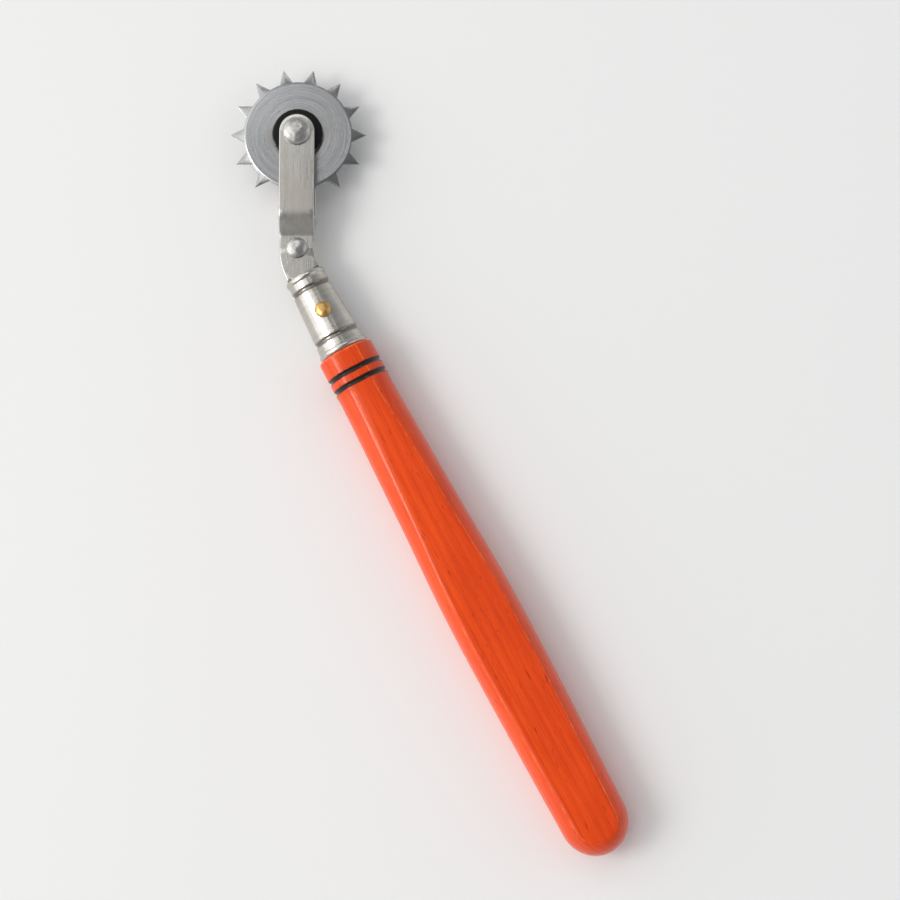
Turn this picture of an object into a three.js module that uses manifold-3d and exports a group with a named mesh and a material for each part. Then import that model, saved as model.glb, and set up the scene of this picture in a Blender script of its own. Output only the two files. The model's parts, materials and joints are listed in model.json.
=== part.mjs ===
// A dressmaker's tracing wheel. A toothed steel wheel spins between the two cheeks of a riveted fork.
// The fork's tang is pinned into a ferruled wooden handle, and its neck is bent in the wheel's own plane.
// Millimetres, +Z up. The tool lies on its side on a table, on the handle's flat and the axle's lower end,
// so the wheel is level. The handle runs along Y and the wheel is at its +Y end.
import * as THREE from "three";
import { mergeVertices } from "three/addons/utils/BufferGeometryUtils.js";
import Module from "manifold-3d";

// ---- driving dimensions ----
const TIP_RADIUS = 12.7; // the wheel is 1 inch across its points
const RIM_RADIUS = 10.1;
const TOOTH_COUNT = 14;
const TOOTH_BASE = 2.5; // width of a tooth where it leaves the rim
const DISC_THICKNESS = 0.8;
const STEP_RADIUS = 9.75; // a coined step inside the rim, on both faces
const STEP_WIDTH = 0.15;
const STEP_DEPTH = 0.08;
const TIP_THICKNESS = 0.28;
const REST_HEIGHT = 4.8; // from the wheel's mid-plane to the table
const STRIP_WIDTH = 6.5; // the cheeks, seen face on
const CHEEK_THICKNESS = 1.1;
const NECK_LENGTH = 24; // hub to bend
const NECK_BEND = THREE.MathUtils.degToRad(28);
const BEND_RADIUS = 10;
const AXLE_RADIUS = 1.5;
const GRIP_RADIUS = 6.75; // the handle at its fullest
const HANDLE_END = -122;

// ---- fits ----
const SEAT = 0.05; // between pieces that rest on each other
const RUNNING = 0.05; // radial clearance of the wheel on its axle
const END_PLAY = 0.08; // between the hub and each washer
const SEGMENTS = 48; // round a small turned piece
const HANDLE_SEGMENTS = 64;

// ---- the stack on the axle, upwards from the wheel's mid-plane ----
const COLLAR_THICKNESS = 1.1;
const COLLAR_RADIUS = 4.7;
const BUSH_RADIUS = 2.3;
const BUSH_STAND = 0.2; // the bush stands this much proud of each collar
const WASHER_THICKNESS = 0.45;
const WASHER_RADIUS = 3;
const BURR_THICKNESS = 0.5;
const BURR_RADIUS = 2.9;
const HEAD_EDGE = 0.25; // height of a rivet head's straight edge, below its crown
const AXLE_HEAD_RADIUS = 2.6;
const AXLE_HEAD_RISE = 0.95; // of the crown
const PEEN_RADIUS = 2.2; // the axle's lower end, hammered over the burr
const PEEN_FLAT_RADIUS = 1.75;
const PEEN_CHAMFER = 0.35;
const collarBase = DISC_THICKNESS / 2 + SEAT;
const collarTop = collarBase + COLLAR_THICKNESS;
const bushTop = collarTop + BUSH_STAND;
const washerBase = bushTop + END_PLAY;
const washerTop = washerBase + WASHER_THICKNESS;
const cheekBase = washerTop + SEAT;
const cheekTop = cheekBase + CHEEK_THICKNESS;

// ---- the fork, in the neck's frame: the bend is at the origin and the hub at +Y ----
const JOGGLE_START = NECK_LENGTH - 14.6; // where the cheeks begin to close behind the wheel
const JOGGLE_END = NECK_LENGTH - 19.4;
const tangBase = SEAT; // inner face of a cheek from there on
const bendTangent = BEND_RADIUS * Math.tan(NECK_BEND / 2);
const NECK_RIVET_RADIUS = 1.1;
const NECK_RIVET_HEAD = 1.9;
const NECK_RIVET_RISE = 0.6;
const neckRivetY = bendTangent;
const TANG_WIDTH = 4.8;
const TANG_TIP_WIDTH = 3.4;
const TANG_SHOULDER = 2.6; // from the bend
const TANG_TAPER = 24;
const TANG_END = 32;

// ---- ferrule and handle, in the tool's frame ----
const FERRULE_FRONT = -2.9;
const FERRULE_REAR = -19;
const FERRULE_FRONT_RADIUS = 3.6;
const FERRULE_REAR_RADIUS = 4.5;
const FERRULE_WALL = 0.5;
const BEAD_HEIGHT = 0.25; // of the rolled bead at each end of the ferrule
const BEAD_LENGTH = 1.2;
const CRIMP_DEPTH = 0.22;
const CRIMP_LENGTH = 1;
const FRONT_CRIMP = -5.8;
const REAR_CRIMP = -15.9;
const PIN_Y = -10.8;
const PIN_RADIUS = 1;
const PIN_HEAD_RADIUS = 1.5;
const PIN_HEAD_RISE = 0.5; // of its crown, above the ferrule
const NOSE_INSET = 0.4; // the wood stops this far inside the ferrule's mouth
const SHOULDER_RADIUS = 5.3;
const SHOULDER_ROUND = 0.6;
const GROOVE_DEPTH = 0.35;
const GROOVE_WIDTH = 0.9;
const GROOVES = [-23.2, -25.4];
const WAIST_RADIUS = 5.25;
const WAIST_Y = -30;
const FULLEST_Y = -76;
const BUTT_RADIUS = 6.2;
const BUTT_START = -115.4;
const SLOT_CLEARANCE = 0.1;
const SLOT_DEPTH = TANG_END + 0.6;

// ---- finishes ----
const NICKEL = { color: 0xc9cbcd, metalness: 1, roughness: 0.3 };
const GROUND_STEEL = { color: 0xb4b7ba, metalness: 1, roughness: 0.25 };
const BLACKENED = { color: 0x1d1c1c, metalness: 0.6, roughness: 0.45 };
const BRASS = { color: 0xb08d45, metalness: 1, roughness: 0.35 };
const LACQUER = { color: 0xd9431a, metalness: 0, roughness: 0.3 };

// ---- solids ----
const wasm = await Module();
wasm.setup();

function solidFrom(geometry) {
  const bare = geometry.clone();
  bare.deleteAttribute("normal");
  bare.deleteAttribute("uv");
  const merged = mergeVertices(bare, 1e-4);
  return new wasm.Manifold(
    new wasm.Mesh({
      numProp: 3,
      vertProperties: merged.attributes.position.array,
      triVerts: new Uint32Array(merged.index.array),
    }),
  );
}

function geometryFrom(solid) {
  const mesh = solid.getMesh();
  const geometry = new THREE.BufferGeometry();
  geometry.setAttribute("position", new THREE.BufferAttribute(mesh.vertProperties, 3));
  geometry.setIndex(new THREE.BufferAttribute(mesh.triVerts, 1));
  return geometry;
}

// A mesh with a material of its own, from a geometry or a solid.
function named(name, shape, finish) {
  const geometry = shape.isBufferGeometry ? shape : geometryFrom(shape);
  const mesh = new THREE.Mesh(geometry, new THREE.MeshStandardMaterial(finish));
  mesh.name = name;
  return mesh;
}

// A profile of [radius, y] points turned about Y. Along the outside of the piece, y increases.
function turnedAboutY(points, segments = SEGMENTS) {
  const profile = points.map(([radius, y]) => new THREE.Vector2(radius, y));
  return new THREE.LatheGeometry(profile, segments);
}

function turnedAboutZ(points, segments = SEGMENTS) {
  return turnedAboutY(points, segments).rotateX(Math.PI / 2);
}

// A washer, tube or collar about Z, with its upper outer edge chamfered.
function ring(inner, outer, base, top, chamfer = 0) {
  const profile = [
    [inner, base],
    [outer, base],
    [outer, top - chamfer],
    [outer - chamfer, top],
    [inner, top],
    [inner, base],
  ];
  return turnedAboutZ(chamfer ? profile : profile.filter((_, index) => index !== 3));
}

// A round bar about a line parallel to Z, half of it above z = 0. It also serves to drill holes.
function pinAboutZ(radius, x = 0, y = 0, length = 40) {
  const bar = new THREE.CylinderGeometry(radius, radius, length, SEGMENTS).rotateX(Math.PI / 2);
  return solidFrom(bar.translate(x, y, 0));
}

// A flat outline made into a plate of the given depth, half of it above z = 0.
function slab(shape, depth, curveSegments = 12) {
  const plate = new THREE.ExtrudeGeometry(shape, { depth, bevelEnabled: false, curveSegments });
  return plate.translate(0, 0, -depth / 2);
}

// ---- the wheel ----
function wheelDisc() {
  const pitch = (2 * Math.PI) / TOOTH_COUNT;
  const halfTooth = Math.asin(TOOTH_BASE / 2 / RIM_RADIUS);
  const star = new THREE.Shape();
  for (let k = 0; k < TOOTH_COUNT; k++) {
    const angle = k * pitch;
    star.absarc(0, 0, RIM_RADIUS, angle - pitch + halfTooth, angle - halfTooth, false);
    star.lineTo(TIP_RADIUS * Math.cos(angle), TIP_RADIUS * Math.sin(angle));
  }
  // From the step outwards the blank thins, so each tooth comes to a fine point.
  const half = DISC_THICKNESS / 2;
  const face = [
    [TIP_RADIUS, TIP_THICKNESS / 2],
    [STEP_RADIUS + STEP_WIDTH, half - STEP_DEPTH],
    [STEP_RADIUS, half],
    [0, half],
  ];
  const underside = face.map(([radius, height]) => [radius, -height]).reverse();
  const blank = turnedAboutZ([...underside, ...face], 4 * TOOTH_COUNT);
  const disc = solidFrom(slab(star, 4, 3)).intersect(solidFrom(blank));
  return named("wheel_disc", disc.subtract(pinAboutZ(BUSH_RADIUS + SEAT)), GROUND_STEEL);
}

function makeWheel() {
  const wheel = new THREE.Group();
  const collar = ring(BUSH_RADIUS + SEAT, COLLAR_RADIUS, collarBase, collarTop, 0.3);
  const upper = named("hub_collar_upper", collar, BLACKENED);
  const lower = named("hub_collar_lower", collar, BLACKENED);
  lower.rotation.x = Math.PI;
  const bush = named("hub_bush", ring(AXLE_RADIUS + RUNNING, BUSH_RADIUS, -bushTop, bushTop), BRASS);
  wheel.add(wheelDisc(), upper, lower, bush);
  return wheel;
}

// ---- rivets and the axle ----
// The crown of a rivet head: a quarter of an ellipse from its edge to its top, as radius and height.
function crown(radius, base, rise) {
  const STEPS = 4;
  const points = [];
  for (let k = 0; k <= STEPS; k++) {
    const angle = (k / STEPS) * (Math.PI / 2);
    points.push([radius * Math.cos(angle), base + rise * Math.sin(angle)]);
  }
  return points;
}

// A rivet or pin about Z with a crowned head at each end. A head's edge runs from seat up to edge.
function doubleHeaded(shank, head, seat, edge, rise) {
  const end = [[shank, seat], [head, seat], ...crown(head, edge, rise)];
  const foot = end.map(([radius, height]) => [radius, -height]).reverse();
  return turnedAboutZ([...foot, ...end], 32);
}

function axleRivet() {
  const seat = cheekTop + SEAT;
  const under = -(seat + BURR_THICKNESS + SEAT);
  const profile = [
    [0, -REST_HEIGHT],
    [PEEN_FLAT_RADIUS, -REST_HEIGHT],
    [PEEN_RADIUS, -REST_HEIGHT + PEEN_CHAMFER],
    [PEEN_RADIUS, under],
    [AXLE_RADIUS, under],
    [AXLE_RADIUS, seat],
    [AXLE_HEAD_RADIUS, seat],
    ...crown(AXLE_HEAD_RADIUS, seat + HEAD_EDGE, AXLE_HEAD_RISE),
  ];
  return named("axle_rivet", turnedAboutZ(profile), GROUND_STEEL);
}

function makeAxle() {
  const axle = new THREE.Group();
  const washer = ring(AXLE_RADIUS + SEAT, WASHER_RADIUS, washerBase, washerTop);
  const upper = named("thrust_washer_upper", washer, GROUND_STEEL);
  const lower = named("thrust_washer_lower", washer, GROUND_STEEL);
  lower.rotation.x = Math.PI;
  const burrTop = -(cheekTop + SEAT);
  const burrShape = ring(AXLE_RADIUS + SEAT, BURR_RADIUS, burrTop - BURR_THICKNESS, burrTop);
  const burr = named("rivet_burr", burrShape, GROUND_STEEL);
  axle.add(axleRivet(), upper, lower, burr);
  return axle;
}

// ---- the fork ----
// A point on the tang: a distance past the bend, and an offset towards the outside of the bend.
function onTang(distance, offset) {
  const x = Math.sin(NECK_BEND) * distance - Math.cos(NECK_BEND) * offset;
  const y = -Math.cos(NECK_BEND) * distance - Math.sin(NECK_BEND) * offset;
  return [x, y];
}

function cheekOutline() {
  const half = STRIP_WIDTH / 2;
  const start = Math.PI;
  const end = Math.PI + NECK_BEND;
  const outline = new THREE.Shape();
  outline.absarc(0, NECK_LENGTH, half, 0, Math.PI, false);
  outline.absarc(BEND_RADIUS, bendTangent, BEND_RADIUS + half, start, end, false);
  outline.lineTo(...onTang(TANG_SHOULDER, half));
  outline.lineTo(...onTang(TANG_SHOULDER, TANG_WIDTH / 2));
  outline.lineTo(...onTang(TANG_TAPER, TANG_WIDTH / 2));
  outline.lineTo(...onTang(TANG_END, TANG_TIP_WIDTH / 2));
  outline.lineTo(...onTang(TANG_END, -TANG_TIP_WIDTH / 2));
  outline.lineTo(...onTang(TANG_TAPER, -TANG_WIDTH / 2));
  outline.lineTo(...onTang(TANG_SHOULDER, -TANG_WIDTH / 2));
  outline.lineTo(...onTang(TANG_SHOULDER, -half));
  outline.absarc(BEND_RADIUS, bendTangent, BEND_RADIUS - half, end, start, true);
  return outline;
}

// The upper cheek seen from the side, as a band of constant thickness that steps down behind the wheel.
function cheekSide() {
  const STEPS = 10;
  const drop = cheekBase - tangBase;
  const run = JOGGLE_START - JOGGLE_END;
  const inner = [[NECK_LENGTH + STRIP_WIDTH, cheekBase]];
  const outer = [[NECK_LENGTH + STRIP_WIDTH, cheekTop]];
  for (let k = 0; k <= STEPS; k++) {
    const phase = (Math.PI * k) / STEPS;
    const y = JOGGLE_START - (run * k) / STEPS;
    const z = tangBase + (drop * (1 + Math.cos(phase))) / 2;
    const slope = (drop * Math.PI * Math.sin(phase)) / 2 / run;
    const normal = new THREE.Vector2(-slope, 1).normalize().multiplyScalar(CHEEK_THICKNESS);
    inner.push([y, z]);
    outer.push([y + normal.x, z + normal.y]);
  }
  inner.push([-TANG_END - STRIP_WIDTH, tangBase]);
  outer.push([-TANG_END - STRIP_WIDTH, tangBase + CHEEK_THICKNESS]);
  const side = [...inner, ...outer.reverse()];
  return new THREE.Shape(side.map(([y, z]) => new THREE.Vector2(y, z)));
}

function cheekSolid() {
  const acrossX = new THREE.Matrix4().makeBasis(
    new THREE.Vector3(0, 1, 0),
    new THREE.Vector3(0, 0, 1),
    new THREE.Vector3(1, 0, 0),
  );
  const band = solidFrom(slab(cheekSide(), 80).applyMatrix4(acrossX));
  const [pinX, pinY] = onTang(-PIN_Y, 0);
  return solidFrom(slab(cheekOutline(), 30))
    .intersect(band)
    .subtract(pinAboutZ(AXLE_RADIUS + SEAT, 0, NECK_LENGTH))
    .subtract(pinAboutZ(NECK_RIVET_RADIUS + SEAT, 0, neckRivetY))
    .subtract(pinAboutZ(PIN_RADIUS + SEAT, pinX, pinY));
}

function makeFork() {
  const neck = new THREE.Group();
  const cheek = geometryFrom(cheekSolid());
  const upper = named("fork_cheek_upper", cheek, NICKEL);
  const lower = named("fork_cheek_lower", cheek, NICKEL);
  lower.scale.z = -1;
  const seat = tangBase + CHEEK_THICKNESS + SEAT;
  const edge = seat + HEAD_EDGE;
  const shape = doubleHeaded(NECK_RIVET_RADIUS, NECK_RIVET_HEAD, seat, edge, NECK_RIVET_RISE);
  const rivet = named("neck_rivet", shape, NICKEL);
  rivet.position.y = neckRivetY;
  neck.add(upper, lower, rivet);
  return neck;
}

// ---- ferrule, pin and handle ----
function ferruleRadius(y) {
  const share = (FERRULE_FRONT - y) / (FERRULE_FRONT - FERRULE_REAR);
  return FERRULE_FRONT_RADIUS + share * (FERRULE_REAR_RADIUS - FERRULE_FRONT_RADIUS);
}

// A bead round the ferrule, or a crimp if its height is negative, as Y and height.
function band(middle, length, height) {
  return [
    [middle - length / 2, 0],
    [middle - length / 4, height],
    [middle + length / 4, height],
    [middle + length / 2, 0],
  ];
}

function ferrule() {
  const outside = [
    ...band(FERRULE_REAR + BEAD_LENGTH / 2, BEAD_LENGTH, BEAD_HEIGHT),
    ...band(REAR_CRIMP, CRIMP_LENGTH, -CRIMP_DEPTH),
    ...band(FRONT_CRIMP, CRIMP_LENGTH, -CRIMP_DEPTH),
    ...band(FERRULE_FRONT - BEAD_LENGTH / 2, BEAD_LENGTH, BEAD_HEIGHT),
  ].map(([y, height]) => [ferruleRadius(y) + height, y]);
  const mouth = [FERRULE_REAR, FERRULE_FRONT].map((y) => [ferruleRadius(y) - FERRULE_WALL, y]);
  const tube = solidFrom(turnedAboutY([mouth[0], ...outside, mouth[1], mouth[0]]));
  return named("ferrule", tube.subtract(pinAboutZ(PIN_RADIUS + SEAT, 0, PIN_Y)), NICKEL);
}

// The pin's heads are hammered down to fit the round of the ferrule.
function ferrulePin() {
  const surface = ferruleRadius(PIN_Y);
  const shape = doubleHeaded(PIN_RADIUS, PIN_HEAD_RADIUS, surface / 2, surface + SEAT, PIN_HEAD_RISE);
  const cone = turnedAboutY([
    [0, FERRULE_REAR],
    [FERRULE_REAR_RADIUS + SEAT, FERRULE_REAR],
    [FERRULE_FRONT_RADIUS + SEAT, FERRULE_FRONT],
    [0, FERRULE_FRONT],
  ]);
  const heads = solidFrom(shape.translate(0, PIN_Y, 0)).subtract(solidFrom(cone));
  const shank = pinAboutZ(PIN_RADIUS, 0, PIN_Y, 2 * (surface + 2 * SEAT));
  return named("ferrule_pin", heads.add(shank), BRASS);
}

// The handle's outline from its nose to its butt, as radius and Y.
function handleOutline() {
  const noseFront = FERRULE_FRONT - NOSE_INSET;
  const noseRadius = (y) => ferruleRadius(y) - FERRULE_WALL - SEAT;
  const shoulder = FERRULE_REAR - SEAT;
  const face = SHOULDER_RADIUS - SHOULDER_ROUND;
  const side = new THREE.Path();
  side.moveTo(0, noseFront);
  side.lineTo(noseRadius(noseFront), noseFront);
  side.lineTo(noseRadius(shoulder), shoulder);
  side.lineTo(face, shoulder);
  side.absarc(face, shoulder - SHOULDER_ROUND, SHOULDER_ROUND, Math.PI / 2, 0, true);
  for (const y of GROOVES) {
    side.lineTo(SHOULDER_RADIUS, y + GROOVE_WIDTH / 2);
    side.lineTo(SHOULDER_RADIUS - GROOVE_DEPTH, y);
    side.lineTo(SHOULDER_RADIUS, y - GROOVE_WIDTH / 2);
  }
  side.splineThru([
    new THREE.Vector2(WAIST_RADIUS, WAIST_Y),
    new THREE.Vector2((WAIST_RADIUS + GRIP_RADIUS) / 2, (WAIST_Y + FULLEST_Y) / 2),
    new THREE.Vector2(GRIP_RADIUS, FULLEST_Y),
    new THREE.Vector2(BUTT_RADIUS, BUTT_START),
  ]);
  side.absellipse(0, BUTT_START, BUTT_RADIUS, BUTT_START - HANDLE_END, 0, -Math.PI / 2, true);
  return side.getPoints(5).map((point) => [point.x, point.y]);
}

function handle() {
  const turned = solidFrom(turnedAboutY(handleOutline().reverse(), HANDLE_SEGMENTS));
  // The round handle is flattened on two sides, so that it doesn't roll and the wheel lies level.
  const flats = new THREE.BoxGeometry(4 * GRIP_RADIUS, -3 * HANDLE_END, 2 * REST_HEIGHT);
  const slotWidth = TANG_WIDTH + 2 * SLOT_CLEARANCE;
  const slotHeight = 2 * (tangBase + CHEEK_THICKNESS + SLOT_CLEARANCE);
  const slot = new THREE.BoxGeometry(slotWidth, SLOT_DEPTH, slotHeight).translate(0, -SLOT_DEPTH / 2, 0);
  const body = turned
    .intersect(solidFrom(flats))
    .subtract(solidFrom(slot))
    .subtract(pinAboutZ(PIN_RADIUS + SEAT, 0, PIN_Y));
  return named("handle", body, LACQUER);
}

// ---- the tool ----
const tool = new THREE.Group();
const neck = makeFork();
const hub = new THREE.Group();
hub.add(makeWheel(), makeAxle());
hub.position.y = NECK_LENGTH;
neck.add(hub);
neck.rotation.z = -NECK_BEND;
tool.add(neck, ferrule(), ferrulePin(), handle());

// The origin is on the table, under the middle of the tool's bounding box.
const box = new THREE.Box3().setFromObject(tool, true);
const middle = box.getCenter(new THREE.Vector3());
tool.position.set(-middle.x, -middle.y, REST_HEIGHT);

const tracingWheel = new THREE.Group();
tracingWheel.add(tool);
export default tracingWheel;
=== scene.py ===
# The looks of a dressmaker's tracing wheel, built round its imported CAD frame.
# Shapes are drawn in millimetres, each in the frame of its own part, and placed in metres.
import json
import math

import bmesh
import bpy
from mathutils import Matrix, Vector


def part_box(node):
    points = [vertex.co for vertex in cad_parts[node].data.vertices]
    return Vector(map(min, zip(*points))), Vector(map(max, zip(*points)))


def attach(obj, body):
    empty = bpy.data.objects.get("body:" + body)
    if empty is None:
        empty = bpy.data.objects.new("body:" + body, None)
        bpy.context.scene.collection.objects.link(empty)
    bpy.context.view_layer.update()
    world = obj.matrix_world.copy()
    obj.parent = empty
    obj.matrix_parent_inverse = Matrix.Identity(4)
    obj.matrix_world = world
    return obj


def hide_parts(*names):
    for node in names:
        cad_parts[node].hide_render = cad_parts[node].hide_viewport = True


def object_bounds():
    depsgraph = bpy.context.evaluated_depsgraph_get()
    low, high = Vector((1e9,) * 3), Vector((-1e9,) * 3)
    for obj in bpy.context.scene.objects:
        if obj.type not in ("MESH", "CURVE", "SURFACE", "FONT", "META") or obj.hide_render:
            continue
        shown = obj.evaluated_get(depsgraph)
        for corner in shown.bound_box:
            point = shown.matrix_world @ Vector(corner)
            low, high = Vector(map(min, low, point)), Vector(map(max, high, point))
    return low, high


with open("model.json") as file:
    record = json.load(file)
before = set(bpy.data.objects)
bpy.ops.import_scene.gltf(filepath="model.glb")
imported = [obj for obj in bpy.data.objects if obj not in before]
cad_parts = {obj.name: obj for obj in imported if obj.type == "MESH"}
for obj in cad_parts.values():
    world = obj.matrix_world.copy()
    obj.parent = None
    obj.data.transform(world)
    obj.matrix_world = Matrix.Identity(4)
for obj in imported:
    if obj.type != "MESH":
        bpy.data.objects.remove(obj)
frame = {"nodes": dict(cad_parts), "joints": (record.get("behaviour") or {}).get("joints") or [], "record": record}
cad_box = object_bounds()
record = frame["record"]

MM = 0.001
HUB = Vector(frame["joints"][0]["pos_m"])

# ---- driving dimensions, in mm ----
TOOTH_COUNT = 14
TOOTH_BASE = 2.5
RIM_RADIUS = 10.1
STEP_RADIUS = 9.75
STEP_WIDTH = 0.15
STEP_DEPTH = 0.08
TIP_THICKNESS = 0.28
TOOTH_ROUNDING = 0.06
BORE_CHAMFER = 0.12
FACE_RINGS = (8.2, 6.6, 5.0, 3.6)  # radii of the vertices on the disc's plain face

SEAT = 0.05  # gap between pieces that rest on each other
HEAD_EDGE = 0.25  # straight edge of a rivet head, below its crown
PEEN_RADIUS = 2.2
PEEN_FACE_RADIUS = 1.75
PEEN_CHAMFER = 0.35
AXLE_EASING = 0.06  # of the corners beside the burr and under the head
COLLAR_ROUNDING = 0.35
PLAIN_ROUNDING = 0.1  # of washers, bush and burr

STRIP_WIDTH = 6.5
CHEEK_THICKNESS = 1.1
CHEEK_ROUNDING = 0.22
NECK_BEND = math.radians(28)
BEND_RADIUS = 10
JOGGLE_FROM_HUB = (14.6, 19.4)  # where the cheek starts and ends its step in
TANG_WIDTH = 4.8
TANG_TIP_WIDTH = 3.4
TANG_SHOULDER = 2.6
TANG_TAPER = 24
TANG_END = 32
AXLE_RADIUS = 1.5
NECK_RIVET_RADIUS = 1.1
NECK_RIVET_HEAD = 1.9
NECK_RIVET_EASING = 0.05
PIN_RADIUS = 1

FERRULE_FRONT_RADIUS = 3.6
FERRULE_REAR_RADIUS = 4.5
FERRULE_WALL = 0.5
BEAD_HEIGHT = 0.25
BEAD_LENGTH = 1.2
CRIMP_DEPTH = 0.22
CRIMP_LENGTH = 1
CRIMPS = (-15.9, -5.8)

NOSE_INSET = 0.4
SHOULDER_RADIUS = 5.3
SHOULDER_ROUND = 0.6
GROOVES = (-23.2, -25.4)
GROOVE_DEPTH = 0.35
GROOVE_WIDTH = 0.9
GROOVE_LIP = 0.12
GROOVE_FLOOR = 0.18
WAIST_RADIUS = 5.25
WAIST_Y = -30
FULLEST_Y = -76
BUTT_RADIUS = 6.2
BUTT_START = -115.4
FLAT_EASING = 0.45  # height over which the edge of a flat is eased
SLOT_CLEARANCE = 0.1
SLOT_BEYOND_TANG = 0.6

# ---- how much the handle is rubbed, from 0 to 1, and over what length in mm ----
FLAT_EDGE_WEAR = 0.72
BUTT_WEAR = 0.58
BUTT_WEAR_LENGTH = 7
SHOULDER_WEAR = 0.75
SHOULDER_WEAR_LENGTH = 0.8

# ---- places, from the frame ----
handle_low, handle_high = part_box("handle")
handle_x = (handle_low.x + handle_high.x) / 2
neck_length = (HUB.x - handle_x) / math.sin(NECK_BEND) / MM
bend = Vector((handle_x, HUB.y - neck_length * MM * math.cos(NECK_BEND), HUB.z))
AT_HANDLE = Matrix.Translation(bend)  # +Y runs from the butt to the bend
AT_BEND = AT_HANDLE @ Matrix.Rotation(-NECK_BEND, 4, "Z")  # +Y runs from the bend to the hub
AT_HUB = Matrix.Translation(HUB) @ Matrix.Rotation(-NECK_BEND, 4, "Z")


def levels(node):
    """Lowest and highest Z of a CAD node, in mm from the wheel's mid-plane."""
    low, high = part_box(node)
    return (low.z - HUB.z) / MM, (high.z - HUB.z) / MM


def along(node):
    """Rear and front Y of a CAD node, in mm from the bend."""
    low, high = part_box(node)
    return (low.y - bend.y) / MM, (high.y - bend.y) / MM


def radii(node):
    """Smallest and largest distance of a CAD node's points from the axle's centreline, in mm."""
    away = [(v.co - HUB).to_2d().length / MM for v in frame["nodes"][node].data.vertices]
    return min(away), max(away)


collar_radius = radii("hub_collar_upper")[1]
collar_top = levels("hub_collar_upper")[1]
cheek_base = levels("fork_cheek_upper")[1] - CHEEK_THICKNESS
joggle_start, joggle_end = [neck_length - distance for distance in JOGGLE_FROM_HUB]
bend_tangent = BEND_RADIUS * math.tan(NECK_BEND / 2)
ferrule_rear, ferrule_front = along("ferrule")
pin_middle = sum(along("ferrule_pin")) / 2
handle_butt = along("handle")[0]
grip_radius = (handle_high.x - handle_low.x) / 2 / MM
flat_height = (handle_high.z - handle_low.z) / 2 / MM


# ---- making meshes ----
def skin(bm, rings, closed=False):
    """Faces between neighbouring rings of vertices. A ring may be a single vertex on the axis."""
    pairs = list(zip(rings, rings[1:]))
    if closed:
        pairs.append((rings[-1], rings[0]))
    for first, second in pairs:
        count = max(len(first), len(second))
        for k in range(count):
            m = (k + 1) % count
            if len(first) == 1:
                bm.faces.new((first[0], second[k], second[m]))
            elif len(second) == 1:
                bm.faces.new((first[k], first[m], second[0]))
            else:
                bm.faces.new((first[k], first[m], second[m], second[k]))


def turned(profile, axis="Z", segments=96, closed=False):
    """A bmesh turned from (radius, height) points. A closed profile makes a ring."""
    bm = bmesh.new()
    rings = []
    for radius, height in profile:
        angles = [2 * math.pi * k / segments for k in range(segments)] if radius > 0 else [0.0]
        circle = [(radius * math.cos(a), radius * math.sin(a)) for a in angles]
        places = [(u, v, height) if axis == "Z" else (u, height, v) for u, v in circle]
        rings.append([bm.verts.new(place) for place in places])
    skin(bm, rings, closed)
    return bm


def rounded(corners, steps=4):
    """A line through (radius, height, rounding) corners, with each corner rounded off.

    The first and last corners of an open line have a rounding of 0.
    """
    points = []
    for k, (radius, height, rounding) in enumerate(corners):
        here = Vector((radius, height))
        if rounding == 0:
            points.append(tuple(here))
            continue
        before = Vector(corners[k - 1][:2])
        after = Vector(corners[(k + 1) % len(corners)][:2])
        start = here + (before - here).normalized() * rounding
        end = here + (after - here).normalized() * rounding
        for s in range(steps + 1):
            t = s / steps
            points.append(tuple(start.lerp(here, t).lerp(here.lerp(end, t), t)))
    return points


def crown(radius, base, rise, steps=10):
    """The domed crown of a rivet head, from its edge to its top."""
    angles = [math.pi / 2 * k / steps for k in range(steps)]
    return [(radius * math.cos(a), base + rise * math.sin(a)) for a in angles] + [(0, base + rise)]


def arc(centre, radius, start, end, steps):
    """Points on an arc, ends included."""
    angles = [start + (end - start) * k / steps for k in range(steps + 1)]
    return [Vector(centre) + radius * Vector((math.cos(a), math.sin(a))) for a in angles]


def linked(name, data):
    """A new object in the scene, for some data."""
    obj = bpy.data.objects.new(name, data)
    bpy.context.scene.collection.objects.link(obj)
    return obj


def part(name, bm, place, node, material, sharp=35):
    """Makes a bmesh in mm into an object that stands for a CAD node and rides on that node's body.

    Edges that turn by more than sharp degrees stay crisp.
    """
    bmesh.ops.remove_doubles(bm, verts=bm.verts, dist=1e-4)
    bmesh.ops.recalc_face_normals(bm, faces=bm.faces)
    for face in bm.faces:
        face.smooth = True
    for edge in bm.edges:
        if edge.is_manifold and edge.calc_face_angle() > math.radians(sharp):
            edge.smooth = False
    bmesh.ops.transform(bm, matrix=place.to_3x3().to_4x4() @ Matrix.Scale(MM, 4), verts=bm.verts)
    mesh = bpy.data.meshes.new(name)
    bm.to_mesh(mesh)
    bm.free()
    mesh.materials.append(material)
    obj = linked(name, mesh)
    obj.matrix_world = Matrix.Translation(place.translation)
    shading = obj.modifiers.new("even_shading", "WEIGHTED_NORMAL")
    shading.keep_sharp = True
    bodies = record["behaviour"]["bodies"]
    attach(obj, next(body for body, nodes in bodies.items() if node in nodes))
    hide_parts(node)
    return obj


def cut(obj, cutter_bm):
    """Cuts a bmesh in mm out of the object that it is drawn round."""
    bmesh.ops.recalc_face_normals(cutter_bm, faces=cutter_bm.faces)
    bmesh.ops.scale(cutter_bm, vec=(MM, MM, MM), verts=cutter_bm.verts)
    mesh = bpy.data.meshes.new("cutter")
    cutter_bm.to_mesh(mesh)
    cutter_bm.free()
    cutter = linked("cutter", mesh)
    cutter.matrix_world = obj.matrix_world
    carve = obj.modifiers.new("carve", "BOOLEAN")
    carve.object = cutter
    obj.modifiers.move(len(obj.modifiers) - 1, 0)
    bpy.context.view_layer.objects.active = obj
    bpy.ops.object.modifier_apply(modifier="carve")
    bpy.data.objects.remove(cutter)


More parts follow.
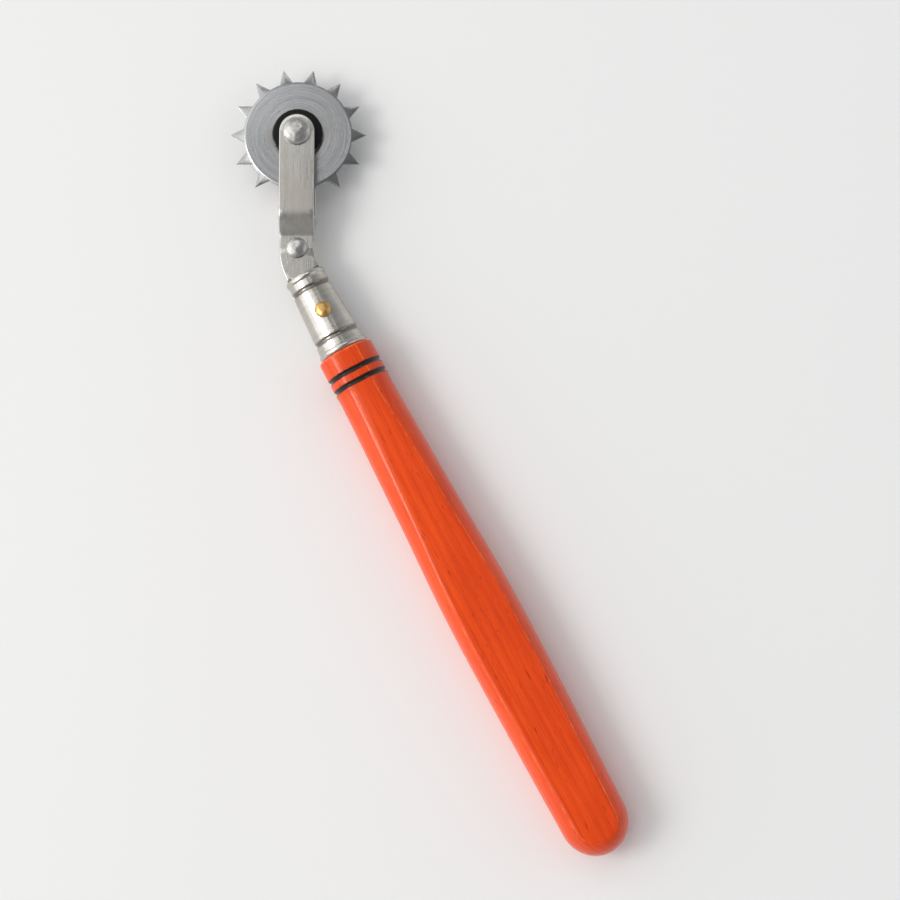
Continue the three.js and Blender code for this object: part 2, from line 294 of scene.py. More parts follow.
def drill_for_pin(obj):
    """The hole for the ferrule's pin, right through the object."""
    reach = 20
    radius = PIN_RADIUS + SEAT
    bm = turned([(0, -reach), (radius, -reach), (radius, reach), (0, reach)], segments=64)
    bmesh.ops.translate(bm, vec=(0, pin_middle, 0), verts=bm.verts)
    cut(obj, bm)


# ---- making materials ----
def feed(tree, value, socket):
    """Links a signal or a socket to an input, or sets the input to a constant."""
    if isinstance(value, Signal):
        value = value.socket
    if isinstance(value, bpy.types.NodeSocket):
        tree.links.new(value, socket)
    else:
        socket.default_value = value


class Signal:
    """A number worked out by shader nodes. Plain arithmetic works on it."""

    def __init__(self, tree, socket):
        self.tree = tree
        self.socket = socket

    def maths(self, operation, *others):
        """The result of one Math node."""
        node = self.tree.nodes.new("ShaderNodeMath")
        node.operation = operation
        for value, socket in zip((self, *others), node.inputs):
            feed(self.tree, value, socket)
        return Signal(self.tree, node.outputs[0])

    def __add__(self, other):
        return self.maths("ADD", other)

    def __sub__(self, other):
        return self.maths("SUBTRACT", other)

    def __rsub__(self, other):
        return self.maths("MULTIPLY", -1.0).maths("ADD", other)

    def __mul__(self, other):
        return self.maths("MULTIPLY", other)

    def __abs__(self):
        return self.maths("ABSOLUTE")

    def ramp(self, low, high, to_low=0.0, to_high=1.0):
        """The signal's way from low to high, as a way from to_low to to_high, and level beyond them."""
        node = self.tree.nodes.new("ShaderNodeMapRange")
        for value, socket in zip((self, low, high, to_low, to_high), node.inputs):
            feed(self.tree, value, socket)
        return Signal(self.tree, node.outputs[0])


def hypotenuse(first, second):
    """How far off a line a place is, from two signals square to it."""
    return (first * first + second * second).maths("SQRT")


class Surface:
    """A material under construction. Its lengths are in mm and its patterns in features for each mm."""

    def __init__(self, name, metallic, turned_by=0.0):
        self.material = bpy.data.materials.new(name)
        self.material.use_nodes = True
        self.tree = self.material.node_tree
        self.shader = self.tree.nodes["Principled BSDF"]
        self.shader.inputs["Metallic"].default_value = metallic
        self.relief = None
        place = self.tree.nodes.new("ShaderNodeMapping")
        coordinates = self.tree.nodes.new("ShaderNodeTexCoord")
        feed(self.tree, coordinates.outputs["Object"], place.inputs["Vector"])
        place.inputs["Scale"].default_value = (1 / MM, 1 / MM, 1 / MM)
        place.inputs["Rotation"].default_value = (0, 0, turned_by)
        self.place = place.outputs[0]
        apart = self.tree.nodes.new("ShaderNodeSeparateXYZ")
        feed(self.tree, self.place, apart.inputs[0])
        self.x, self.y, self.z = [Signal(self.tree, socket) for socket in apart.outputs]

    def noise(self, per_mm, detail=4.0, rough=0.55, distortion=0.0):
        """Noise with so many features for each mm along X, Y and Z."""
        scale = self.tree.nodes.new("ShaderNodeMapping")
        feed(self.tree, self.place, scale.inputs["Vector"])
        scale.inputs["Scale"].default_value = per_mm
        return self.noise_at(scale.outputs[0], detail, rough, distortion)

    def noise_along(self, u, v=0.0, w=0.0, detail=2.0):
        """Noise that follows other signals than the place."""
        vector = self.tree.nodes.new("ShaderNodeCombineXYZ")
        for value, socket in zip((u, v, w), vector.inputs):
            feed(self.tree, value, socket)
        return self.noise_at(vector.outputs[0], detail)

    def noise_at(self, vector, detail=2.0, rough=0.55, distortion=0.0):
        """Noise from a vector of any kind."""
        node = self.tree.nodes.new("ShaderNodeTexNoise")
        feed(self.tree, vector, node.inputs["Vector"])
        feed(self.tree, 1.0, node.inputs["Scale"])
        feed(self.tree, detail, node.inputs["Detail"])
        feed(self.tree, rough, node.inputs["Roughness"])
        feed(self.tree, distortion, node.inputs["Distortion"])
        return Signal(self.tree, node.outputs[0])

    def attribute(self, name):
        """A number stored on the mesh's vertices."""
        node = self.tree.nodes.new("ShaderNodeAttribute")
        node.attribute_name = name
        return Signal(self.tree, node.outputs["Fac"])

    def blend(self, share, first, second):
        """A colour between two colours. Each is red, green and blue, or a socket."""
        node = self.tree.nodes.new("ShaderNodeMix")
        node.data_type = "RGBA"
        feed(self.tree, share, node.inputs["Factor"])
        for name, value in (("A", first), ("B", second)):
            socket = next(s for s in node.inputs if s.name == name and s.type == "RGBA")
            feed(self.tree, value if isinstance(value, bpy.types.NodeSocket) else (*value, 1), socket)
        return next(s for s in node.outputs if s.type == "RGBA")

    def set(self, name, value):
        """Sets or links an input of the shader."""
        feed(self.tree, value, self.shader.inputs[name])

    def raise_by(self, signal, height):
        """Adds relief: the signal times a height."""
        self.relief = signal * height if self.relief is None else self.relief + signal * height

    def finish(self):
        """Adds the relief and returns the material."""
        if self.relief is not None:
            bump = self.tree.nodes.new("ShaderNodeBump")
            feed(self.tree, 1.0, bump.inputs["Strength"])
            feed(self.tree, MM, bump.inputs["Distance"])
            feed(self.tree, self.relief, bump.inputs["Height"])
            self.set("Normal", bump.outputs[0])
        return self.material


def ground_steel():
    """The wheel: turned rings on its faces, dull near the hub, with ground teeth darkened by hardening."""
    bright, worn = (0.54, 0.55, 0.56), (0.43, 0.435, 0.44)
    hardened, tarnished, rusty = (0.3, 0.295, 0.29), (0.3, 0.285, 0.265), (0.16, 0.12, 0.09)
    s = Surface("ground_steel", metallic=1.0)
    radius = hypotenuse(s.x, s.y)
    turn = s.y.maths("ARCTAN2", s.x)
    fine = s.noise_along(radius * 9, turn * 0.8, detail=4)
    broad = s.noise_along(radius * 1.4, turn * 0.25, 3.0)
    cuts = s.noise_along(radius * 0.7, turn * 70, detail=3)
    on_teeth = radius.ramp(RIM_RADIUS - 0.3, RIM_RADIUS - 0.1)
    cloud = s.noise((0.22, 0.22, 0.22), detail=5).ramp(0.45, 0.75)
    pits = s.noise((2.6, 2.6, 2.6), detail=3).ramp(0.68, 0.74)
    dull = cloud * 0.4 + radius.ramp(collar_radius + 1.7, collar_radius - 0.1) * 0.5
    colour = s.blend(broad.ramp(0.3, 0.7), bright, worn)
    colour = s.blend(on_teeth * 0.6, colour, hardened)
    colour = s.blend(dull, colour, tarnished)
    s.set("Base Color", s.blend(pits * 0.7, colour, rusty))
    s.set("Roughness", fine.ramp(0.3, 0.7, 0.15, 0.28) + dull * 0.22)
    s.set("Anisotropic", 0.55)
    around = s.tree.nodes.new("ShaderNodeTangent")
    around.direction_type = "RADIAL"
    around.axis = "Z"
    s.set("Tangent", around.outputs[0])
    s.raise_by(fine * (1.0 - on_teeth) + cuts * on_teeth, 0.01)
    s.raise_by(1.0 - pits, 0.008)
    return s.finish()


def plated(name, colour, lines_per_mm, roughness, depth, turned_by=0.0, crimps=()):
    """Nickel plate: fine polishing lines, dull patches, specks and scratches, and grime in the crimps."""
    spotted, grimy = (0.14, 0.11, 0.08), (0.1, 0.085, 0.07)
    s = Surface(name, metallic=1.0, turned_by=turned_by)
    fine = s.noise(lines_per_mm, detail=3)
    broad = s.noise([n * 0.22 for n in lines_per_mm], detail=3)
    cloud = s.noise((0.2, 0.12, 0.2), detail=6, rough=0.62).ramp(0.44, 0.72)
    specks = s.noise((3.1, 3.1, 3.1), detail=2).ramp(0.7, 0.76)
    scored = s.noise((2.2, 0.35, 2.2), detail=1, distortion=1.5).ramp(0.72, 0.74)
    darker = [c * 0.86 for c in colour]
    tarnished = [c * k for c, k in zip(colour, (0.6, 0.56, 0.5))]
    tint = s.blend(broad.ramp(0.35, 0.65), colour, darker)
    tint = s.blend(cloud * 0.6, tint, tarnished)
    tint = s.blend(specks * 0.6, tint, spotted)
    for middle in crimps:
        grime = abs(s.y - middle).ramp(0.7, 0.25) * 0.75
        tint = s.blend(grime, tint, grimy)
    s.set("Base Color", tint)
    s.set("Roughness", fine.ramp(0.3, 0.7, roughness - 0.06, roughness + 0.07) + cloud * 0.14)
    s.raise_by(fine, depth)
    s.raise_by(1.0 - scored, 0.006)
    return s.finish()


def turned_metal(name, colour, roughness, tarnish):
    """Small turned and headed pieces: faint hammer marks, rings from the lathe, and tarnish in patches."""
    s = Surface(name, metallic=1.0)
    radius = hypotenuse(s.x, s.y)
    rings = s.noise_along(radius * 9, s.z * 9)
    cloud = s.noise((0.8, 0.8, 0.8), detail=5).ramp(0.42, 0.7)
    s.set("Base Color", s.blend(cloud * 0.75, colour, tarnish))
    s.set("Roughness", rings.ramp(0.3, 0.7, roughness - 0.05, roughness + 0.08) + cloud * 0.18)
    s.raise_by(rings, 0.005)
    s.raise_by(s.noise((1.1, 1.1, 1.1), detail=0), 0.09)
    return s.finish()


def blackened():
    """Black-oxide steel, rubbed bright here and there along its outer corner."""
    oxide, bare = (0.015, 0.015, 0.016), (0.22, 0.21, 0.2)
    s = Surface("blackened_steel", metallic=0.9)
    radius = hypotenuse(s.x, s.y)
    rings = s.noise_along(radius * 9, s.z * 9)
    at_rim = radius.ramp(collar_radius - 0.25, collar_radius - 0.1)
    at_corner = at_rim * abs(s.z).ramp(collar_top - COLLAR_ROUNDING, collar_top - 0.15)
    rubbed = (s.noise((1.6, 1.6, 1.6), detail=6) + at_corner * 0.3).ramp(0.74, 0.9)
    s.set("Base Color", s.blend(rubbed, oxide, bare))
    s.set("Roughness", rings.ramp(0.3, 0.7, 0.34, 0.5))
    s.raise_by(rings, 0.008)
    return s.finish()


def lacquered_wood():
    """Beech under orange-red dye and gloss lacquer, with two rings burned in black.

    It is worn at its edges, and its nose is bare where it was turned down for the ferrule.
    """
    dyed, dyed_late, blotched = (0.95, 0.095, 0.008), (0.62, 0.038, 0.004), (0.52, 0.026, 0.003)
    flecked, pored, rubbed = (0.26, 0.014, 0.003), (0.2, 0.012, 0.003), (0.86, 0.25, 0.06)
    beech, beech_late, burned = (0.46, 0.29, 0.14), (0.3, 0.17, 0.075), (0.012, 0.006, 0.004)
    s = Surface("lacquered_wood", metallic=0.0)
    pith_x, pith_z = -31, -24  # the middle of the growth rings, off to one side
    from_pith = hypotenuse(s.x - pith_x, s.z - pith_z)
    growth = from_pith * 0.62 + s.noise((0.03, 0.006, 0.03), detail=2) * 6
    seasons = s.noise_along(growth * 0.8)
    late = growth.maths("FRACT").ramp(0.35, 1.0) * seasons.ramp(0.3, 0.7, 0.15, 1.0)
    fibres = s.noise((6.0, 0.11, 6.0), rough=0.62)
    flecks = s.noise((3.4, 0.42, 3.4), detail=1, rough=0.4).ramp(0.69, 0.76)
    pores = s.noise((11.0, 0.9, 11.0), detail=1).ramp(0.7, 0.78)
    blotch = s.noise((0.07, 0.025, 0.07))
    grain = late * 0.45 + fibres.ramp(0.35, 0.68) * 0.55
    body = s.blend(grain, dyed, dyed_late)
    body = s.blend(blotch.ramp(0.4, 0.7) * 0.5, body, blotched)
    body = s.blend(flecks * 0.55, body, flecked)
    body = s.blend(pores * 0.5, body, pored)
    patchy = s.noise((1.3, 0.5, 1.3), detail=6, rough=0.7)
    exposed = (s.attribute("wear") + patchy).ramp(1.08, 1.34)
    body = s.blend(exposed * 0.7, body, rubbed)
    on_nose = s.y.ramp(ferrule_rear, ferrule_rear + 0.3)
    body = s.blend(on_nose, body, s.blend(grain, beech, beech_late))
    for middle in GROOVES:
        away = abs(s.y - middle) + (patchy - 0.5) * 0.25
        body = s.blend(away.ramp(0.62, 0.4), body, burned)
    s.set("Base Color", body)
    s.set("Roughness", fibres.ramp(0.3, 0.7, 0.3, 0.42) + exposed * 0.2)
    s.set("Specular IOR Level", 0.12)
    s.set("Coat Weight", 0.55)
    s.set("Coat Roughness", 0.14)
    s.set("Coat IOR", 1.45)
    s.raise_by(fibres, 0.012)
    s.raise_by(1.0 - pores, 0.012)
    s.raise_by(s.noise((0.35, 0.12, 0.35), detail=2), 0.06)
    return s.finish()


# ---- the wheel and its hub ----
def tooth_outline():
    """The toothed edge as points, anticlockwise, with straight flanks and arcs of the rim between them."""
    flank_steps = 10
    rim_steps = 12
    tip_radius = radii("wheel_disc")[1]
    pitch = 2 * math.pi / TOOTH_COUNT
    half_tooth = math.asin(TOOTH_BASE / 2 / RIM_RADIUS)
    points = []
    for k in range(TOOTH_COUNT):
        middle = k * pitch
        tip = Vector((tip_radius * math.cos(middle), tip_radius * math.sin(middle)))
        gap = arc((0, 0), RIM_RADIUS, middle + half_tooth, middle + pitch - half_tooth, rim_steps)
        foot = Matrix.Rotation(-pitch, 2) @ gap[-1]
        points += [foot.lerp(tip, s / flank_steps) for s in range(flank_steps)]
        points += [tip.lerp(gap[0], s / flank_steps) for s in range(flank_steps)]
        points += gap[:-1]
    return points


def inset(points, distance):
    """A closed anticlockwise outline moved inwards by a distance, with its corners mitred."""
    moved = []
    for k, here in enumerate(points):
        before = (here - points[k - 1]).normalized()
        after = (points[(k + 1) % len(points)] - here).normalized()
        inwards = Vector((-before.y - after.y, before.x + after.x)).normalized()
        reach = distance / inwards.dot(Vector((-before.y, before.x)))
        moved.append(here + inwards * reach)
    return moved


def toothed_disc(material):
    """The stamped disc: a coined step inside its rim, and teeth that thin to their points."""
    half = levels("wheel_disc")[1]
    bore, tip_radius = radii("wheel_disc")
    outline = tooth_outline()
    step_foot = STEP_RADIUS + STEP_WIDTH

    def thickness(radius):
        """Half the disc's thickness at a radius."""
        coined = (min(max(radius, STEP_RADIUS), step_foot) - STEP_RADIUS) / STEP_WIDTH
        share = max(radius - step_foot, 0) / (tip_radius - step_foot)
        return (half - STEP_DEPTH * coined) * (1 - share) + TIP_THICKNESS / 2 * share

    bm = bmesh.new()
    beside_step = (step_foot, STEP_RADIUS, STEP_RADIUS - 2 * STEP_WIDTH)
    circles = [(radius, 0) for radius in (*beside_step, *FACE_RINGS, bore + BORE_CHAMFER)]
    circles.append((bore, BORE_CHAMFER))
    rings = {}
    for side in (1, -1):
        rings[side] = []
        for depth in (0.0, TOOTH_ROUNDING * 0.3, TOOTH_ROUNDING):
            drop = TOOTH_ROUNDING - math.sqrt(TOOTH_ROUNDING**2 - (TOOTH_ROUNDING - depth) ** 2)
            edge = inset(outline, depth)
            rings[side].append([bm.verts.new((*p, side * (thickness(p.length) - drop))) for p in edge])
        for radius, drop in circles:
            circle = [p.normalized() * radius for p in outline]
            rings[side].append([bm.verts.new((*p, side * (thickness(radius) - drop))) for p in circle])
    skin(bm, rings[1] + rings[-1][::-1], closed=True)
    part("toothed_disc", bm, AT_HUB, "wheel_disc", material, sharp=25)


def ring(name, node, material, far_rounding=PLAIN_ROUNDING):
    """A washer, bush, burr or collar. far_rounding is its outer corner's, away from the disc."""
    inner, outer = radii(node)
    near, far = sorted(levels(node), key=abs)
    corners = [
        (inner, near, PLAIN_ROUNDING),
        (outer, near, PLAIN_ROUNDING),
        (outer, far, far_rounding),
        (inner, far, PLAIN_ROUNDING),
    ]
    part(name, turned(rounded(corners), closed=True), AT_HUB, node, material)


def axle(material):
    """The axle rivet: a crowned head above, and its lower end peened over the burr."""
    low, high = levels("axle_rivet")
    head = radii("axle_rivet")[1]
    seat = levels("fork_cheek_upper")[1] + SEAT
    under = levels("rivet_burr")[0] - SEAT
    profile = rounded([
        (0, low, 0),
        (PEEN_FACE_RADIUS, low, 0.2),
        (PEEN_RADIUS, low + PEEN_CHAMFER, 0.15),
        (PEEN_RADIUS, under, AXLE_EASING),
        (AXLE_RADIUS, under, 0),
        (AXLE_RADIUS, seat, 0),
        (head - AXLE_EASING, seat, 0),
    ])
    profile += crown(head, seat + HEAD_EDGE, high - seat - HEAD_EDGE)
    part("axle", turned(profile), AT_HUB, "axle_rivet", material)


# ---- the fork, in the neck's frame ----
def on_tang(distance, offset):
    """A point so far past the bend, offset towards the outside of the bend."""
    down = Vector((math.sin(NECK_BEND), -math.cos(NECK_BEND)))
    outwards = Vector((-math.cos(NECK_BEND), -math.sin(NECK_BEND)))
    return down * distance + outwards * offset


def cheek_outline(trim):
    """The cheek's edge, moved inwards by trim. It has as many points whatever the trim."""
    half = STRIP_WIDTH / 2 - trim
    tang = [
        (TANG_SHOULDER - trim, half),
        (TANG_SHOULDER - trim, TANG_WIDTH / 2 - trim),
        (TANG_TAPER, TANG_WIDTH / 2 - trim),
        (TANG_END - trim, TANG_TIP_WIDTH / 2 - trim),
    ]
    centre = (BEND_RADIUS, bend_tangent)
    bent = math.pi + NECK_BEND
    points = arc((0, neck_length), half, 0, math.pi, 48)
    points += arc(centre, BEND_RADIUS + half, math.pi, bent, 16)
    points += [on_tang(distance, offset) for distance, offset in tang]
    points += [on_tang(distance, -offset) for distance, offset in reversed(tang)]
    points += arc(centre, BEND_RADIUS - half, bent, math.pi, 16)
    return points


def loop_edges(bm, loop):
    """The edges round a loop of vertices, made where they are missing."""
    pairs = zip(loop, loop[1:] + loop[:1])
    return [bm.edges.get(pair) or bm.edges.new(pair) for pair in pairs]


def blank_face(bm, holes, top):
    """One face of the flat blank, with its rounded edge.

    Returns its outermost ring of vertices, and the rings round its holes.
    """
    steps = 4
    level = CHEEK_THICKNESS if top else 0
    edge = []
    for k in range(steps + 1):
        turn = math.pi / 2 * k / steps
        sunk = CHEEK_ROUNDING * (1 - math.sin(turn))
        depth = CHEEK_THICKNESS - sunk if top else sunk
        outline = cheek_outline(CHEEK_ROUNDING * (1 - math.cos(turn)))
        edge.append([bm.verts.new((*point, depth)) for point in outline])
    skin(bm, edge)
    rims = []
    for centre, radius in holes:
        circle = arc(centre, radius, 0, 2 * math.pi, 48)[:-1]
        rims.append([bm.verts.new((*point, level)) for point in circle])
    border = [e for loop in (edge[-1], *rims) for e in loop_edges(bm, loop)]
    bmesh.ops.triangle_fill(bm, edges=border, use_beauty=True)
    return edge[0], rims


def joggled(point):
    """Where a point of the flat blank goes when the cheek is pressed. Its z is its depth in the blank."""
    share = min(max((joggle_start - point.y) / (joggle_start - joggle_end), 0), 1)
    drop = cheek_base - SEAT
    z = SEAT + drop * (1 + math.cos(math.pi * share)) / 2
    slope = drop * math.pi * math.sin(math.pi * share) / 2 / (joggle_start - joggle_end)
    normal = Vector((-slope, 1)).normalized() * point.z
    return Vector((point.x, point.y + normal.x, z + normal.y))


def cheek(name, node, material, side):
    """A stamped cheek: a plate with rounded edges and three holes, stepped in behind the wheel."""
    holes = [
        ((0, neck_length), AXLE_RADIUS + SEAT),
        ((0, bend_tangent), NECK_RIVET_RADIUS + SEAT),
        (on_tang(-pin_middle, 0), PIN_RADIUS + SEAT),
    ]
    bm = bmesh.new()
    upper, upper_rims = blank_face(bm, holes, top=True)
    lower, lower_rims = blank_face(bm, holes, top=False)
    skin(bm, [upper, lower])
    for first, second in zip(upper_rims, lower_rims):
        skin(bm, [first, second])
    slices = 28
    for k in range(slices + 1):
        y = joggle_start + (joggle_end - joggle_start) * k / slices
        everything = bm.verts[:] + bm.edges[:] + bm.faces[:]
        bmesh.ops.bisect_plane(bm, geom=everything, plane_co=(0, y, 0), plane_no=(0, 1, 0))
    for vert in bm.verts:
        vert.co = joggled(vert.co)
        vert.co.z *= side
    part(name, bm, AT_BEND, node, material, sharp=30)


def neck_rivet(material):
    """The rivet that clamps the cheeks together, with a crowned head on each side."""
    seat = SEAT + CHEEK_THICKNESS + SEAT
    edge = seat + HEAD_EDGE
    top = [(NECK_RIVET_RADIUS, seat), (NECK_RIVET_HEAD - NECK_RIVET_EASING, seat)]
    top += crown(NECK_RIVET_HEAD, edge, levels("neck_rivet")[1] - edge)
    bottom = [(radius, -height) for radius, height in reversed(top)]
    place = AT_BEND @ Matrix.Translation((0, bend_tangent * MM, 0))
    part("neck_rivet_domed", turned(bottom + top), place, "neck_rivet", material)


# ---- ferrule and handle, in the handle's frame ----
def ferrule_radius(y):
    """The ferrule's outer radius, without its beads and crimps."""
    share = (ferrule_front - y) / (ferrule_front - ferrule_rear)
    return FERRULE_FRONT_RADIUS + share * (FERRULE_REAR_RADIUS - FERRULE_FRONT_RADIUS)


def band(middle, length, height):
    """Points over a rolled bead, or through a crimp if its height is negative."""
    steps = 20
    points = []
    for k in range(steps + 1):
        share = 2 * k / steps - 1
        y = middle + share * length / 2
        points.append((ferrule_radius(y) + height * (1 - share**2) ** 0.75, y))
    return points


def ferrule(material):
    """The drawn tube: a bead at each end and two crimps, on a slight taper."""
    profile = band(ferrule_rear + BEAD_LENGTH / 2, BEAD_LENGTH, BEAD_HEIGHT)
    for middle in CRIMPS:
        profile += band(middle, CRIMP_LENGTH, -CRIMP_DEPTH)
    profile += band(ferrule_front - BEAD_LENGTH / 2, BEAD_LENGTH, BEAD_HEIGHT)
    profile += [(ferrule_radius(y) - FERRULE_WALL, y) for y in (ferrule_front, ferrule_rear)]
    bm = turned(profile, axis="Y", segments=128, closed=True)
    obj = part("ferrule_drawn", bm, AT_HANDLE, "ferrule", material)
    drill_for_pin(obj)


def ferrule_pin(material):
    """A pin through ferrule, wood and tang. Its crowned heads follow the round of the ferrule."""
    low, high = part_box("ferrule_pin")
    head = (high.x - low.x) / 2 / MM
    surface = ferrule_radius(pin_middle)
    rise = levels("ferrule_pin")[1] - surface
    lift = 0.03  # of the heads' undersides off the ferrule
    segments = 48
    bm = bmesh.new()
    ends = {}
    for side in (-1, 1):
        rings = []
        profile = [(PIN_RADIUS, lift), (head, lift)] + crown(head, lift + 0.1, rise - lift - 0.1)[:-1]
        for radius, height in profile:
            circle = arc((0, 0), radius, 0, 2 * math.pi, segments)[:-1]
            saddle = [math.sqrt(ferrule_radius(pin_middle + p.y) ** 2 - p.x**2) + height for p in circle]
            rings.append([bm.verts.new((*p, side * z)) for p, z in zip(circle, saddle)])
        rings.append([bm.verts.new((0, 0, side * (surface + rise)))])
        skin(bm, rings)
        ends[side] = rings[0]
    skin(bm, [ends[-1], ends[1]])
    place = AT_HANDLE @ Matrix.Translation((0, pin_middle * MM, 0))
    part("ferrule_pin_domed", bm, place, "ferrule_pin", material)


def smooth_line(knots, steps):
    """A smooth line through the knots, without the first of them."""
    knots = [Vector(knot) for knot in knots]
    padded = [knots[0]] + knots + [knots[-1]]
    points = []
    for a, b, c, d in zip(padded, padded[1:], padded[2:], padded[3:]):
        for s in range(1, steps + 1):
            t = s / steps
            bow = (2 * a - 5 * b + 4 * c - d) * t**2 + (3 * b - a - 3 * c + d) * t**3
            points.append(tuple(0.5 * (2 * b + (c - a) * t + bow)))
    return points


def handle_profile():
    """The handle's outline from its nose to its butt, as radius and Y."""
    nose = ferrule_front - NOSE_INSET
    shoulder = ferrule_rear - SEAT
    within = FERRULE_WALL + SEAT
    line = [(0, nose)] + [(ferrule_radius(y) - within, y) for y in (nose, shoulder)]
    line += rounded([
        (SHOULDER_RADIUS - 2, shoulder, 0),
        (SHOULDER_RADIUS, shoulder, SHOULDER_ROUND),
        (SHOULDER_RADIUS, shoulder - 2, 0),
    ], steps=8)[1:-1]
    for y in GROOVES:
        line += rounded([
            (SHOULDER_RADIUS, y + GROOVE_WIDTH, 0),
            (SHOULDER_RADIUS, y + GROOVE_WIDTH / 2, GROOVE_LIP),
            (SHOULDER_RADIUS - GROOVE_DEPTH, y, GROOVE_FLOOR),
            (SHOULDER_RADIUS, y - GROOVE_WIDTH / 2, GROOVE_LIP),
            (SHOULDER_RADIUS, y - GROOVE_WIDTH, 0),
        ])[1:-1]
    line += smooth_line([
        (SHOULDER_RADIUS, GROOVES[-1] - GROOVE_WIDTH / 2 - GROOVE_LIP),
        (WAIST_RADIUS, WAIST_Y),
        ((WAIST_RADIUS + grip_radius) / 2, (WAIST_Y + FULLEST_Y) / 2),
        (grip_radius, FULLEST_Y),
        (BUTT_RADIUS, BUTT_START),
    ], 24)
    line += crown(BUTT_RADIUS, BUTT_START, handle_butt - BUTT_START, 24)[1:]
    return line


def handle(material):
    """The turned handle, with two flats planed on it, the slot for the tang and the hole for the pin.

    Each vertex carries how much it is rubbed: most at the flats' edges, the shoulder and the butt.
    """
    bm = turned(handle_profile(), axis="Y", segments=256)
    wear = bm.verts.layers.float.new("wear")
    for vert in bm.verts:
        height = abs(vert.co.z)
        near = max(FLAT_EASING - abs(height - flat_height), 0) / FLAT_EASING
        vert.co.z = math.copysign(min(height, flat_height) - near**2 * FLAT_EASING / 4, vert.co.z)
        at_butt = max(1 - (vert.co.y - handle_butt) / BUTT_WEAR_LENGTH, 0)
        from_shoulder = abs(vert.co.y - ferrule_rear + SHOULDER_ROUND / 2)
        at_shoulder = max(1 - from_shoulder / SHOULDER_WEAR_LENGTH, 0)
        vert[wear] = max(near * FLAT_EDGE_WEAR, at_butt * BUTT_WEAR, at_shoulder * SHOULDER_WEAR)
    obj = part("turned_handle", bm, AT_HANDLE, "handle", material)
    slot = bmesh.new()
    bmesh.ops.create_cube(slot, size=2)
    depth = TANG_END + SLOT_BEYOND_TANG
    height = SEAT + CHEEK_THICKNESS + SLOT_CLEARANCE
    bmesh.ops.scale(slot, vec=(TANG_WIDTH / 2 + SLOT_CLEARANCE, depth, height), verts=slot.verts)
    cut(obj, slot)
    drill_for_pin(obj)


# ---- floor, light and camera ----
def floor():
    """A plain pale floor, wide enough to reach the horizon."""
    reach = 6.0
    corners = [(-reach, -reach, 0), (reach, -reach, 0), (reach, reach, 0), (-reach, reach, 0)]
    mesh = bpy.data.meshes.new("floor")
    mesh.from_pydata(corners, [], [(0, 1, 2, 3)])
    surface = Surface("pale_floor", metallic=0.0)
    surface.set("Base Color", (0.86, 0.855, 0.845, 1))
    surface.set("Roughness", 0.7)
    mesh.materials.append(surface.finish())
    linked("floor", mesh)


def room():
    """A light-grey room, brighter towards the horizon than overhead."""
    world = bpy.data.worlds.new("room")
    bpy.context.scene.world = world
    world.use_nodes = True
    tree = world.node_tree
    direction = tree.nodes.new("ShaderNodeTexCoord")
    apart = tree.nodes.new("ShaderNodeSeparateXYZ")
    feed(tree, direction.outputs["Generated"], apart.inputs[0])
    background = tree.nodes["Background"]
    background.inputs["Color"].default_value = (0.95, 0.97, 1.0, 1)
    horizon, overhead = 0.7, 0.2
    height = Signal(tree, apart.outputs[2])
    feed(tree, height.ramp(0, 1, horizon, overhead), background.inputs["Strength"])


def softbox(name, place, size, power, colour=(1.0, 1.0, 1.0)):
    """A big rectangular light, turned towards the tool."""
    light = bpy.data.lights.new(name, "AREA")
    light.shape = "RECTANGLE"
    light.size, light.size_y = size
    light.energy = power
    light.color = colour
    lamp = linked(name, light)
    lamp.location = place
    lamp.rotation_euler = (-Vector(place)).to_track_quat("-Z", "Y").to_euler()


def sky():
    """A very wide sun, so that the floor is as bright far off as near the tool."""
    light = bpy.data.lights.new("sky", "SUN")
    light.energy = 1.6
    light.angle = math.radians(86)
    lamp = linked("sky", light)
    lamp.rotation_euler = Vector((0.95, -0.7, -1)).to_track_quat("-Z", "Y").to_euler()


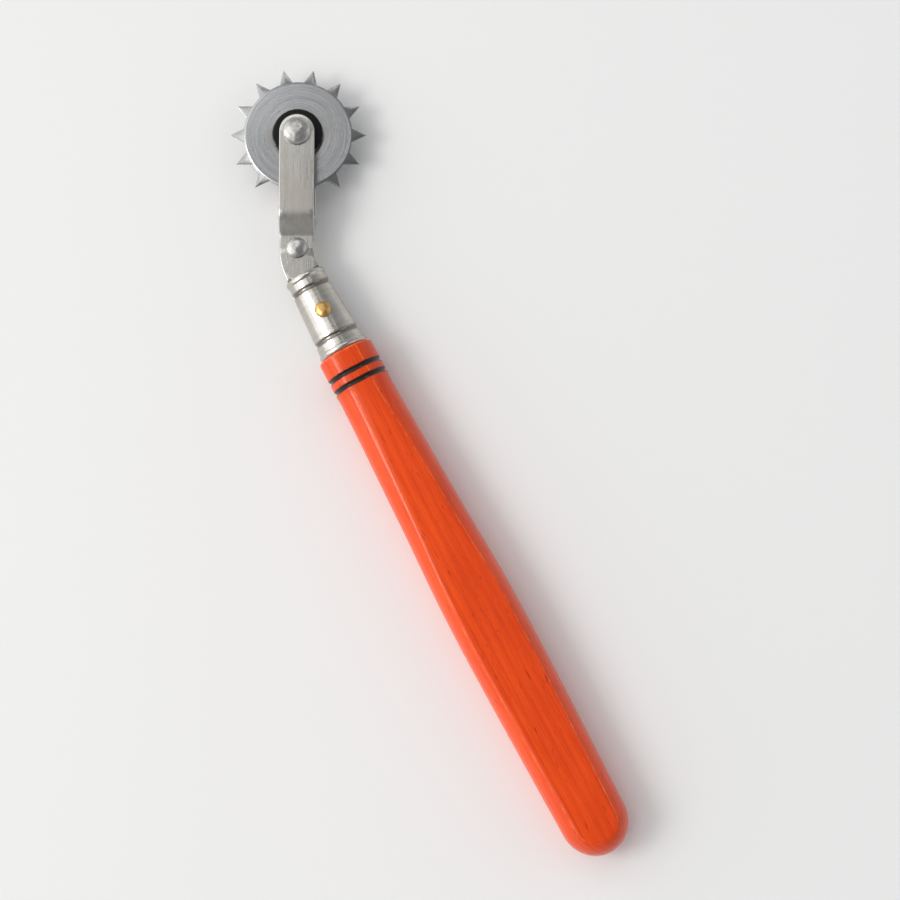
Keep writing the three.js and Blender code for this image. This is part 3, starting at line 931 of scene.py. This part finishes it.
def camera():
    """Looks down on the wheel's flat side, turned so that the neck stands upright in the picture."""
    data = bpy.data.cameras.new("camera")
    data.lens = 85
    data.clip_start = 0.01
    elevation = math.radians(84)
    distance = 0.39
    up = Vector((math.sin(NECK_BEND), math.cos(NECK_BEND), 0))
    back = -up * math.cos(elevation) + Vector((0, 0, math.sin(elevation)))
    right = up.cross(back).normalized()
    top = back.cross(right)
    view = linked("camera", data)
    view.location = (cad_box[0] + cad_box[1]) / 2 + back * distance
    view.rotation_euler = Matrix((right, top, back)).transposed().to_euler()
    bpy.context.scene.camera = view


# ---- building it ----
steel = ground_steel()
cheek_nickel = plated("nickel_plate", (0.62, 0.6, 0.56), (7, 0.16, 7), 0.25, 0.008, turned_by=NECK_BEND)
ferrule_nickel = plated("ferrule_nickel", (0.6, 0.575, 0.53), (0.3, 8, 0.3), 0.2, 0.005, crimps=CRIMPS)
rivet_steel = turned_metal("rivet_steel", (0.52, 0.515, 0.5), 0.24, (0.3, 0.28, 0.25))
brass = turned_metal("brass", (0.7, 0.43, 0.14), 0.24, (0.33, 0.19, 0.08))
black = blackened()

toothed_disc(steel)
ring("bush", "hub_bush", brass)
ring("collar_upper", "hub_collar_upper", black, COLLAR_ROUNDING)
ring("collar_lower", "hub_collar_lower", black, COLLAR_ROUNDING)
ring("washer_upper", "thrust_washer_upper", rivet_steel)
ring("washer_lower", "thrust_washer_lower", rivet_steel)
ring("burr", "rivet_burr", rivet_steel)
axle(rivet_steel)
cheek("cheek_upper", "fork_cheek_upper", cheek_nickel, 1)
cheek("cheek_lower", "fork_cheek_lower", cheek_nickel, -1)
neck_rivet(rivet_steel)
ferrule(ferrule_nickel)
ferrule_pin(brass)
handle(lacquered_wood())

floor()
room()
sky()
softbox("key", (-0.53, 0.2, 0.56), (0.32, 0.28), 2.0, (1.0, 0.98, 0.95))
softbox("fill", (0.55, -0.15, 0.45), (0.5, 0.5), 0.4, (0.95, 0.97, 1.0))
softbox("overhead", (0.25, 0.5, 0.8), (0.3, 0.3), 0.5)
bpy.context.scene.view_settings.view_transform = "Standard"
camera()
